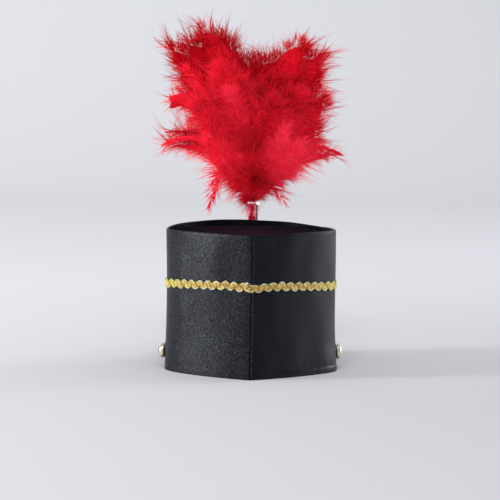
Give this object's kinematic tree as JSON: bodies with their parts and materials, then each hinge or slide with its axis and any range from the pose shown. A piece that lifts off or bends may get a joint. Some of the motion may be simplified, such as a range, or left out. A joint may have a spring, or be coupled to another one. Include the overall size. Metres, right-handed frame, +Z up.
{
  "type": "drum major hat",
  "caption": "Tall black satin marching hat with a recessed top, gold braid, side buttons, front peak and a red feather plume.",
  "frame": {"origin": "middle of the hat's bounding box in X and Y, in the plane that the crown's rim rests on", "axes": "+Z up through the crown, +Y towards the front where the peak and the plume are, +X to the right as seen from behind; the back seam faces -Y"},
  "size_m": [0.1908, 0.2484, 0.3578],
  "materials": {
    "black_satin": "black satin with a soft sheen over a stiff wall",
    "top_satin": "black satin, dull",
    "gold_braid": "metallised gold thread",
    "pale_brass": "polished pale brass",
    "gloss_black": "glossy black",
    "strap_black": "black, semi-gloss",
    "plume_red": "dyed red feather",
    "stem_foil": "shiny red wrapping",
    "dark_wire": "dark, slightly shiny",
    "white_tie": "white, smooth"
  },
  "bodies": {
    "root": {"crown": "black_satin", "crown_top": "top_satin", "braid": "gold_braid", "button_left": "pale_brass", "button_right": "pale_brass", "front_strap": "strap_black", "peak": "gloss_black", "plume_holder": "black_satin", "plume_stem": "stem_foil", "stem_wire": "dark_wire", "plume_tie": "white_tie", "plume": "plume_red"}
  },
  "joints": []
}
